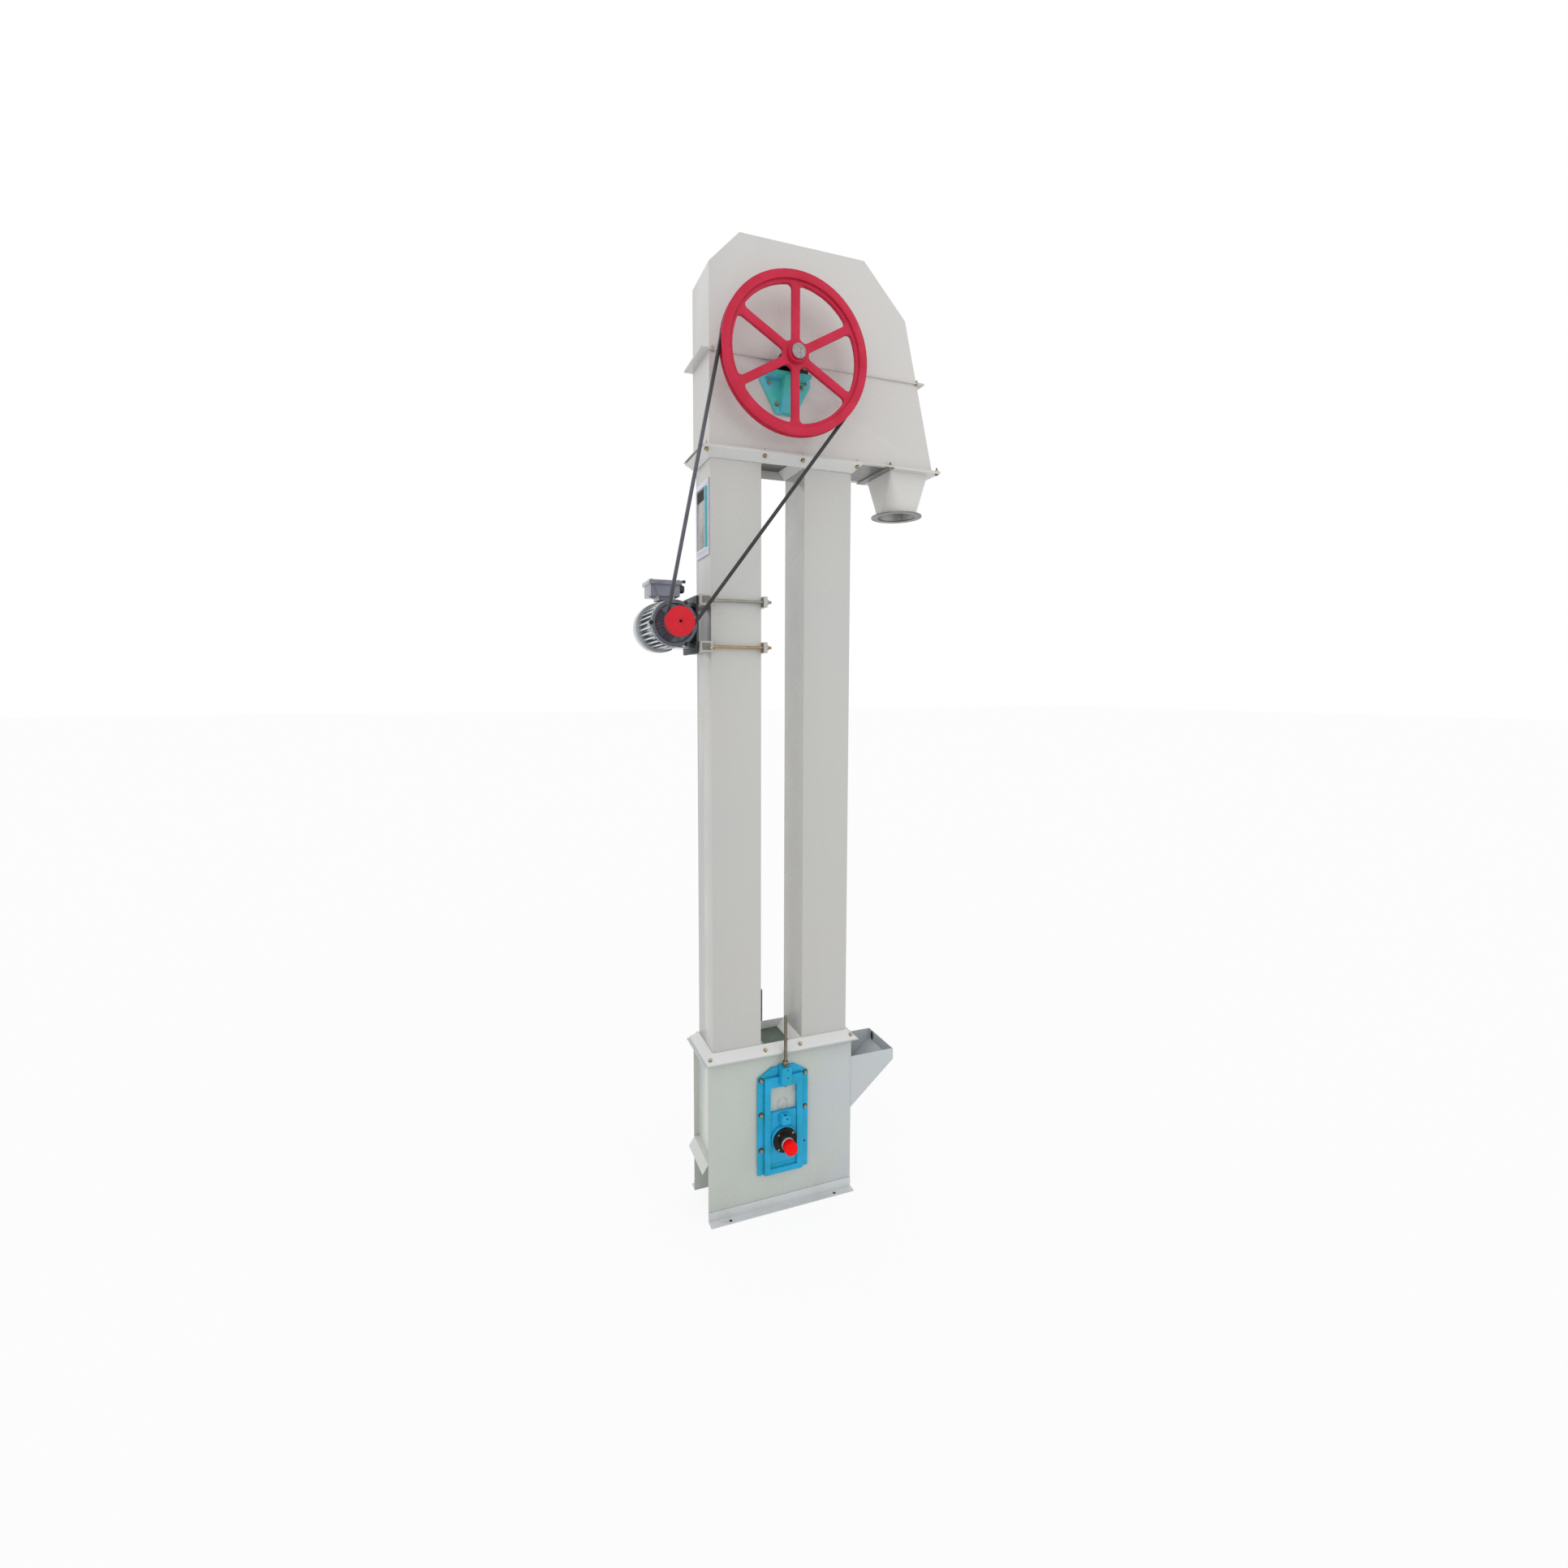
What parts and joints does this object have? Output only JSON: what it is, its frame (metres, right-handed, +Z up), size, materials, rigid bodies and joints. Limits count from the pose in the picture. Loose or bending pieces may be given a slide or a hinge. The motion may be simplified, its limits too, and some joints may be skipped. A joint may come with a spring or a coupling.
{
  "type": "bucket elevator",
  "caption": "Belt and bucket elevator with casing legs, a boot with hopper and take-up, and a head driven by a side motor through a spoked pulley.",
  "frame": {"origin": "underside of the front foot, at its centre", "axes": "+Z up along the legs, +X towards the hopper and the discharge spout, -Y towards the side with the drive"},
  "size_m": [1.0909, 0.402, 3.368],
  "materials": {
    "white_paint": "satin",
    "red_paint": "semi-gloss",
    "blue_paint": "satin over casting",
    "teal_paint": "satin over casting",
    "slate_paint": "satin",
    "steel": "turned",
    "black_iron": "black paint",
    "rubber": "matt",
    "glass": "clear"
  },
  "bodies": {
    "casing": {"boot_front_wall": "white_paint", "boot_back_wall": "white_paint", "front_foot": "white_paint", "back_foot": "white_paint", "boot_left_end": "white_paint", "boot_right_end": "white_paint", "boot_trough": "white_paint", "boot_top_plate": "white_paint", "head_base_plate": "white_paint", "feed_hopper": "white_paint", "left_leg": "white_paint", "right_leg": "white_paint", "leg_base_frame": "white_paint", "leg_top_frame": "white_paint", "window_frame": "white_paint", "window_glass": "glass", "head_lower_casing": "white_paint", "head_cover": "white_paint", "discharge_spout": "white_paint", "front_bearing_bracket": "teal_paint", "back_bearing_bracket": "teal_paint", "front_pillow_block": "black_iron", "back_pillow_block": "black_iron", "front_takeup_frame": "blue_paint", "back_takeup_frame": "blue_paint", "front_takeup_screw": "steel", "back_takeup_screw": "steel", "bucket_belt": "rubber", "drive_belt": "rubber", "motor_housing": "slate_paint", "motor_end_shield": "slate_paint", "motor_fan_cowl": "slate_paint", "motor_terminal_box": "slate_paint", "motor_mount_plate": "slate_paint", "upper_motor_clamp": "white_paint", "lower_motor_clamp": "white_paint"},
    "head_drive": {"drive_pulley": "red_paint", "head_shaft": "steel"},
    "motor_rotor": {"motor_pulley": "red_paint"},
    "takeup": {"front_takeup_slider": "blue_paint", "back_takeup_slider": "blue_paint", "front_tail_bearing": "black_iron", "back_tail_bearing": "black_iron"},
    "tail_drum": {"tail_shaft": "steel"}
  },
  "joints": [
    {"name": "head_shaft_spin", "type": "hinge", "parent": "casing", "child": "head_drive", "pos_m": [0, 0.109, 2.973], "axis": [0, 1, 0], "continuous": true},
    {"name": "motor_shaft_spin", "type": "hinge", "parent": "casing", "child": "motor_rotor", "pos_m": [-0.3939, 0.109, 2.103], "axis": [0, 1, 0], "continuous": true},
    {"name": "takeup_slide", "type": "slide", "parent": "casing", "child": "takeup", "axis": [0, 0, 1], "range_m": [0, 0.085]},
    {"name": "tail_shaft_spin", "type": "hinge", "parent": "takeup", "child": "tail_drum", "pos_m": [0, 0.109, 0.263], "axis": [0, 1, 0], "continuous": true}
  ],
  "couplings": [
    {"joint": "motor_shaft_spin", "follows": "head_shaft_spin", "ratio": 6.054},
    {"joint": "tail_shaft_spin", "follows": "head_shaft_spin", "ratio": 1}
  ]
}
